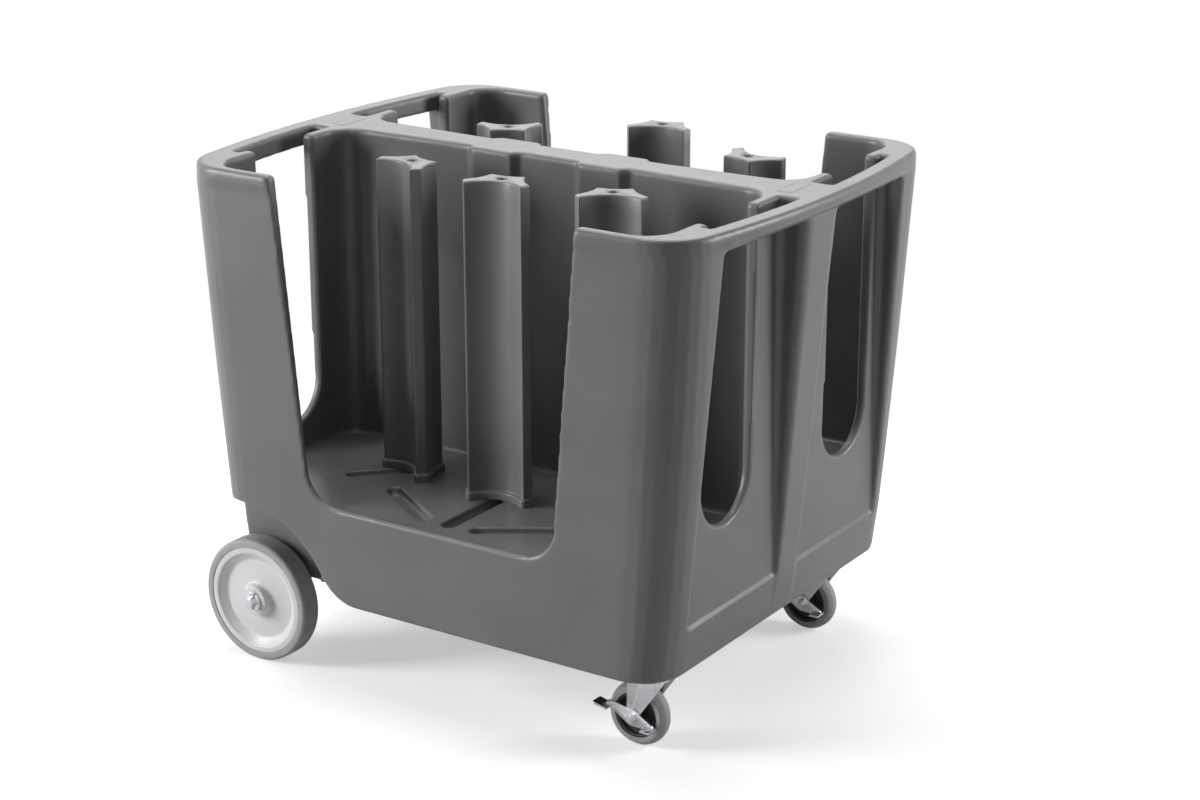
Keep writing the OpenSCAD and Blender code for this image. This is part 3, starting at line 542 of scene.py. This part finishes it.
def softened(node, edge, grain, rounds, most):
    """A copy of a CAD node with cut edges, rebuilt on an even grid of that grain, relaxed so that
    its edges and hollow corners turn soft as a moulding's do, and thinned to so many triangles."""
    helper = bpy.data.objects.new(node + "_helper", merged(node, mark_steep))
    bpy.context.scene.collection.objects.link(helper)
    bevel = helper.modifiers.new("Edges", "BEVEL")
    bevel.width = edge
    bevel.segments = 2
    bevel.limit_method = "WEIGHT"
    bevel.use_clamp_overlap = False
    grid = helper.modifiers.new("Grid", "REMESH")
    grid.mode = "VOXEL"
    grid.voxel_size = grain
    relax = helper.modifiers.new("Relax", "SMOOTH")
    relax.factor = 0.5
    relax.iterations = rounds
    count = 2 * len(evaluated(helper).polygons)
    thin = helper.modifiers.new("Thin", "DECIMATE")
    thin.ratio = min(1.0, most / count)
    mesh = evaluated(helper)
    bpy.data.objects.remove(helper)
    return mesh


# Radius kept free about a slot's middle line, and the heights between which the slots run
SLOT_CLEAR = 0.0062
SLOT_HEIGHTS = (0.262, 0.288)


def clear_slots(mesh):
    """Pushes the points beside each tower bolt's slot away from its middle line, so that the bolt
    can slide from one end to the other: p becomes foot + SLOT_CLEAR (p - foot) / |p - foot|, where
    foot is the nearest point of the line. No point leaves the body's box."""
    points = np.empty(3 * len(mesh.vertices))
    mesh.vertices.foreach_get("co", points)
    points = np.clip(points.reshape(-1, 3), *box_of("body"))
    flat = points[:, :2]
    level = (points[:, 2] > SLOT_HEIGHTS[0]) & (points[:, 2] < SLOT_HEIGHTS[1])
    slides = {j["name"]: j for j in frame["record"]["behaviour"]["joints"]}
    for place in PLACES:
        slide = slides["slide_" + place]
        bolt = centre_of("tower_bolt_" + place)[:2]
        start, end = [bolt + np.array(slide["axis"][:2]) * reach for reach in slide["range_m"]]
        share = np.clip((flat - start) @ (end - start) / ((end - start) @ (end - start)), 0, 1)
        foot = start + share[:, None] * (end - start)
        away = flat - foot
        gap = np.linalg.norm(away, axis=1)
        near = level & (gap < SLOT_CLEAR) & (gap > 0)
        flat[near] = foot[near] + away[near] * (SLOT_CLEAR / gap[near])[:, None]
    mesh.vertices.foreach_set("co", points.ravel())
    mesh.update()


def evaluated(thing):
    graph = bpy.context.evaluated_depsgraph_get()
    graph.update()
    return bpy.data.meshes.new_from_object(thing.evaluated_get(graph), depsgraph=graph)


# Bare raised pads on the handles
PAD_HALF = (0.013, 0.031)
PAD_RISE = 0.0016
PAD_CORNER = 0.004
PAD_SUNK = 0.004


def plate_rows(half, corner, low, high, edge, count=8):
    """Rings of a rounded plate: its rectangle with round corners, carried up the side, over a
    rounded edge and in to a raised border and a flat field."""
    x, y = half
    outline = fillet([(x, -y), (x, y), (-x, y), (-x, -y)], [corner] * 4, steps=count)
    normal = outward_of(outline)
    rows = [(0.0, low)]
    for a in np.linspace(0, math.pi / 2, 4):
        rows.append((edge * (math.cos(a) - 1), high - edge + edge * math.sin(a)))
    rows += [(-2.2 * edge, high), (-3.0 * edge, high - 0.6 * edge)]
    return [np.column_stack([outline + normal * grow, np.full(len(outline), z)]) for grow, z in rows]


class CART_OT_body(bpy.types.Operator):
    """The moulded body with soft edges, and the bare pads on its handles"""
    bl_idname = "cart.body"
    bl_label = "Body"

    def execute(self, context):
        shape = context.scene.cart_shape
        mesh = softened("body", shape.body_edge, shape.body_grain, shape.body_rounds,
                        BODY_TRIANGLES)
        clear_slots(mesh)
        mesh.polygons.foreach_set("use_smooth", [True] * len(mesh.polygons))
        piece = dress(mesh, "body_shell", "frame", "body_plastic", ("body",))
        even = piece.modifiers.new("Even shading", "WEIGHTED_NORMAL")
        even.mode = "FACE_AREA"
        top = box_of("body")[1][2]
        for mount in frame["record"]["mounts"]:
            spot = np.array(mount["pos_m"])
            rows = plate_rows(PAD_HALF, PAD_CORNER, top - PAD_SUNK, top, PAD_RISE / 2)
            points = np.concatenate(rows) + np.array([spot[0], spot[1], 0])
            lid = [list(range((len(rows) - 1) * len(rows[0]), len(rows) * len(rows[0])))]
            base = [list(range(len(rows[0])))[::-1]]
            faces = grid_faces(len(rows), len(rows[0])) + lid + base
            outward(add_piece(mount["name"] + "_form", points, faces, "frame", "body_plastic"))
        return {"FINISHED"}


# Tower plan, in metres about its bolt: arms forward, broad back, sides that curve in
TOWER_ARM = (0.0462, -0.038)
TOWER_HEEL = (0.055, -0.02014)
TOWER_BACK = (0.028, 0.027)
TOWER_DIPS = {"front": 0.022, "flank": 0.005, "back": 0.006}
TOWER_FOOT = 0.0042
TOWER_FOOT_TALL = 0.013
TOWER_HOLE = 0.0085
TOWER_SEAT = 0.012
TOWER_HOLE_EDGE = 0.001
TOWER_BORE = 0.0051


def bowed_line(start, end, dip, steps=14):
    """Points between start and end on a parabola that dips to the left by dip."""
    start, end = np.array(start), np.array(end)
    along = end - start
    left = np.array([-along[1], along[0]]) / np.linalg.norm(along)
    t = np.linspace(0, 1, steps + 1)[1:-1, None]
    return start + along * t + left * dip * 4 * t * (1 - t)


def tower_outline(count=192, soft=0.006):
    """Radius of the tower's plan at evenly spaced angles about the bolt, after its corners are
    softened: the outline is averaged over a short length of its own run."""
    mirror = lambda p: (-p[0], p[1])
    runs = [
        [mirror(TOWER_ARM)], bowed_line(mirror(TOWER_ARM), TOWER_ARM, TOWER_DIPS["front"]),
        [TOWER_ARM, TOWER_HEEL], bowed_line(TOWER_HEEL, TOWER_BACK, TOWER_DIPS["flank"]),
        [TOWER_BACK], bowed_line(TOWER_BACK, mirror(TOWER_BACK), TOWER_DIPS["back"]),
        [mirror(TOWER_BACK)],
        bowed_line(mirror(TOWER_BACK), mirror(TOWER_HEEL), TOWER_DIPS["flank"]), [mirror(TOWER_HEEL)]]
    line = np.concatenate([np.array(run) for run in runs])
    closed = np.vstack([line, line[:1]])
    step = np.linalg.norm(np.diff(closed, axis=0), axis=1)
    run = np.concatenate([[0], np.cumsum(step)])
    fine = 1600
    at = np.linspace(0, run[-1], fine, endpoint=False)
    even = np.stack([np.interp(at, run, closed[:, k]) for k in (0, 1)], axis=1)
    window = max(3, int(soft / run[-1] * fine))
    kernel = np.hanning(2 * window + 1)
    kernel /= kernel.sum()
    padded = np.vstack([even[-window:], even, even[:window]])
    smooth = np.stack([np.convolve(padded[:, k], kernel, "valid") for k in (0, 1)], axis=1)
    run = np.concatenate([[0], np.cumsum(np.linalg.norm(np.diff(smooth, axis=0), axis=1))])
    at = np.linspace(0, run[-1], count, endpoint=False)
    return np.stack([np.interp(at, run, smooth[:, k]) for k in (0, 1)], axis=1)


def tower_rings(low, high, edge):
    """Height and outward growth of each ring, from the foot up over the crown."""
    foot = low + TOWER_FOOT_TALL
    arc = np.linspace(0, math.pi / 2, 5)
    rings = [(low, TOWER_FOOT)]
    rings += [(foot - edge + edge * math.sin(a), TOWER_FOOT - edge * (1 - math.cos(a)))
              for a in arc]
    rings += [(foot + edge * (1 - math.cos(a)) * 0.8, (TOWER_FOOT - edge) * (1 - math.sin(a)))
              for a in arc[1:]]
    rings += [(foot + (high - foot) * t, 0) for t in (0.1, 0.4, 0.7, 0.95)]
    rings += [(high - edge + edge * math.sin(a), -edge * (1 - math.cos(a))) for a in arc]
    return rings


def outward_of(line):
    """Unit normals of a closed outline that runs anticlockwise."""
    along = np.roll(line, -1, axis=0) - np.roll(line, 1, axis=0)
    side = np.stack([along[:, 1], -along[:, 0]], axis=1)
    return side / np.linalg.norm(side, axis=1)[:, None]


class CART_OT_towers(bpy.types.Operator):
    """The six dividing towers with soft corners, a wider foot and a bolt well in the crown"""
    bl_idname = "cart.towers"
    bl_label = "Towers"

    def execute(self, context):
        edge = context.scene.cart_shape.tower_edge
        line = tower_outline()
        normal = outward_of(line)
        for place in PLACES:
            low, high = box_of("tower_" + place)
            bolt = centre_of("tower_bolt_" + place)
            rows = [np.column_stack([line + normal * grow, np.full(len(line), z)])
                    for z, grow in tower_rings(low[2], high[2], edge)]
            angle = np.arctan2(rows[-1][:, 1], rows[-1][:, 0])
            hole = np.column_stack([np.cos(angle), np.sin(angle)])
            mouth = hole * (TOWER_HOLE + TOWER_HOLE_EDGE)
            for ring in ((rows[-1][:, :2] + mouth) / 2, mouth):
                rows.append(np.column_stack([ring, np.full(len(line), high[2])]))
            seat = high[2] - TOWER_SEAT
            for radius, z in ((TOWER_HOLE, high[2] - TOWER_HOLE_EDGE), (TOWER_HOLE, seat),
                              (TOWER_BORE, seat), (TOWER_BORE, low[2])):
                rows.append(np.column_stack([hole * radius, np.full(len(line), z)]))
            turn = math.radians(TOWER_TURNS[place])
            points = np.concatenate(rows)
            spun = np.column_stack([
                points[:, 0] * math.cos(turn) - points[:, 1] * math.sin(turn) + bolt[0],
                points[:, 0] * math.sin(turn) + points[:, 1] * math.cos(turn) + bolt[1],
                points[:, 2]])
            name = "tower_" + place
            # the towers take the brightened plastic: painted light standing in for lamp light
            piece = add_piece(name + "_form", spun, grid_faces(len(rows), len(line), wrap_rows=True),
                              name, "tower_plastic", (name,))
            outward(piece)
            sharp = piece.modifiers.new("Edges", "EDGE_SPLIT")
            sharp.split_angle = math.radians(50)
        return {"FINISHED"}


def ring_of(node):
    """Middle, half width, and radius of a node that is round about the Y axis."""
    low, high = box_of(node)
    return (low + high) / 2, (high[1] - low[1]) / 2, (high[2] - low[2]) / 2


def mirrored(section, radii, steps):
    """A wheel centre's closed section from its half with Y above zero."""
    back = [(r, -y) for r, y in reversed(section)]
    return fillet(section + back, radii + radii[::-1], steps=steps)


# Fixed wheels, in metres
WHEEL_AROUND = 160
WHEEL_SHOULDER = 0.006
WHEEL_TOE = 0.001
WHEEL_BORE = 0.0112
WHEEL_HUB = 0.024
WHEEL_DISH = 0.007
WHEEL_LIP_IN = 0.001
WHEEL_RADII = [0.001, 0.003, 0.005, 0.006, 0.004, 0.003, 0.001]


class CART_OT_wheels(bpy.types.Operator):
    """The two large fixed wheels: dished centre, raised rim and soft-shouldered tyre"""
    bl_idname = "cart.wheels"
    bl_label = "Fixed wheels"

    def execute(self, context):
        for side in SIDES:
            middle, half, outer = ring_of("wheel_tyre_" + side)
            hub_half, rim = ring_of("wheel_core_" + side)[1:]
            body = "wheel_" + side
            tyre = fillet([(rim, -half), (outer, -half), (outer, half), (rim, half)],
                          [WHEEL_TOE, WHEEL_SHOULDER, WHEEL_SHOULDER, WHEEL_TOE], steps=8)
            turned(body + "_tyre_form", tyre, middle, body, "grey_tread",
                   ("wheel_tyre_" + side,), WHEEL_AROUND)
            lip = half - WHEEL_LIP_IN
            section = [(WHEEL_BORE, hub_half), (WHEEL_HUB, hub_half),
                       (WHEEL_HUB + 0.003, WHEEL_DISH + 0.004), (rim - 0.022, WHEEL_DISH),
                       (rim - 0.012, lip - 0.003), (rim - 0.009, lip), (rim, lip)]
            turned(body + "_core_form", mirrored(section, WHEEL_RADII, 5), middle, body,
                   "core_plastic", ("wheel_core_" + side,), WHEEL_AROUND)
        return {"FINISHED"}


# Swivel casters, in metres
CASTER_TREAD_SHARE = 0.35
CASTER_CHAMFER = 0.006
CASTER_TYRE_RADII = [0.001, 0.004, 0.008]
CASTER_BORE = 0.00405
CASTER_WEB = 0.0055
CASTER_RIB = 0.009
CASTER_LIP_IN = 0.002
CASTER_RADII = [0.0005] + [0.001] * 8 + [0.0005]


class CART_OT_casters(bpy.types.Operator):
    """The swivel casters: wheel, pressed fork and rocking brake lever"""
    bl_idname = "cart.casters"
    bl_label = "Swivel casters"

    def execute(self, context):
        edge = context.scene.cart_shape.steel_edge
        for side in SIDES:
            middle, half, outer = ring_of("caster_tyre_" + side)
            hub_half, rim = ring_of("caster_core_" + side)[1:]
            body = "caster_" + side
            tread = half * CASTER_TREAD_SHARE
            tyre = fillet([(rim, -half), (outer - CASTER_CHAMFER, -half), (outer, -tread),
                           (outer, tread), (outer - CASTER_CHAMFER, half), (rim, half)],
                          CASTER_TYRE_RADII + CASTER_TYRE_RADII[::-1], steps=6)
            turned(body + "_tyre_form", tyre, middle, body, "grey_tread", ("caster_tyre_" + side,))
            section = [(CASTER_BORE, hub_half), (0.012, hub_half), (0.013, 0.006),
                       (0.020, CASTER_WEB), (0.021, CASTER_RIB), (0.024, CASTER_RIB),
                       (0.025, CASTER_WEB), (rim - 0.006, CASTER_WEB),
                       (rim - 0.004, half - CASTER_LIP_IN), (rim, half - CASTER_LIP_IN)]
            turned(body + "_core_form", mirrored(section, CASTER_RADII, 3), middle, body,
                   "dark_plastic", ("caster_core_" + side,))
            for node, part, slot, width in (
                    ("fork_", "fork_" + side, "zinc", edge), ("caster_plate_", "frame", "zinc", edge),
                    ("brake_lever_", "lever_" + side, "zinc", edge),
                    ("lever_pad_", "lever_" + side, "pad_rubber", edge / 2)):
                rounded(node + side + "_form", node + side, part, slot, width)
        return {"FINISHED"}


class CART_OT_fasteners(bpy.types.Operator):
    """The axle, brackets, bolts, nuts, washers and pins in their own finishes"""
    bl_idname = "cart.fasteners"
    bl_label = "Fasteners"

    def execute(self, context):
        slots = {part["node"]: part["material_slot"] for part in frame["record"]["subparts"]}
        for name, node in frame["nodes"].items():
            finish = material(slots[name], FINISHES[slots[name]])
            node.data.materials.clear()
            node.data.materials.append(finish)
        return {"FINISHED"}


class CART_PT_panel(bpy.types.Panel):
    """Lists the cart's pieces"""
    bl_idname = "CART_PT_panel"
    bl_label = "Plate cart"
    bl_space_type = "VIEW_3D"
    bl_region_type = "UI"
    bl_category = "Plate cart"

    def draw(self, context):
        for group in (context.scene.cart_shape, context.scene.cart_colours):
            for name in group.__annotations__:
                self.layout.prop(group, name)
        for step in STEPS:
            self.layout.operator(step.bl_idname)


STEPS = (CART_OT_fasteners, CART_OT_body, CART_OT_towers, CART_OT_wheels, CART_OT_casters,
         CART_OT_stage)
CLASSES = (CartShape, CartColours) + STEPS + (CART_PT_panel,)


def register():
    for each in CLASSES:
        bpy.utils.register_class(each)
    bpy.types.Scene.cart_shape = bpy.props.PointerProperty(type=CartShape)
    bpy.types.Scene.cart_colours = bpy.props.PointerProperty(type=CartColours)


def unregister():
    del bpy.types.Scene.cart_shape
    del bpy.types.Scene.cart_colours
    for each in reversed(CLASSES):
        bpy.utils.unregister_class(each)


def main():
    register()
    bpy.ops.cart.fasteners()
    bpy.ops.cart.body()
    bpy.ops.cart.towers()
    bpy.ops.cart.wheels()
    bpy.ops.cart.casters()
    bpy.ops.cart.stage()


if __name__ == "__main__":
    main()
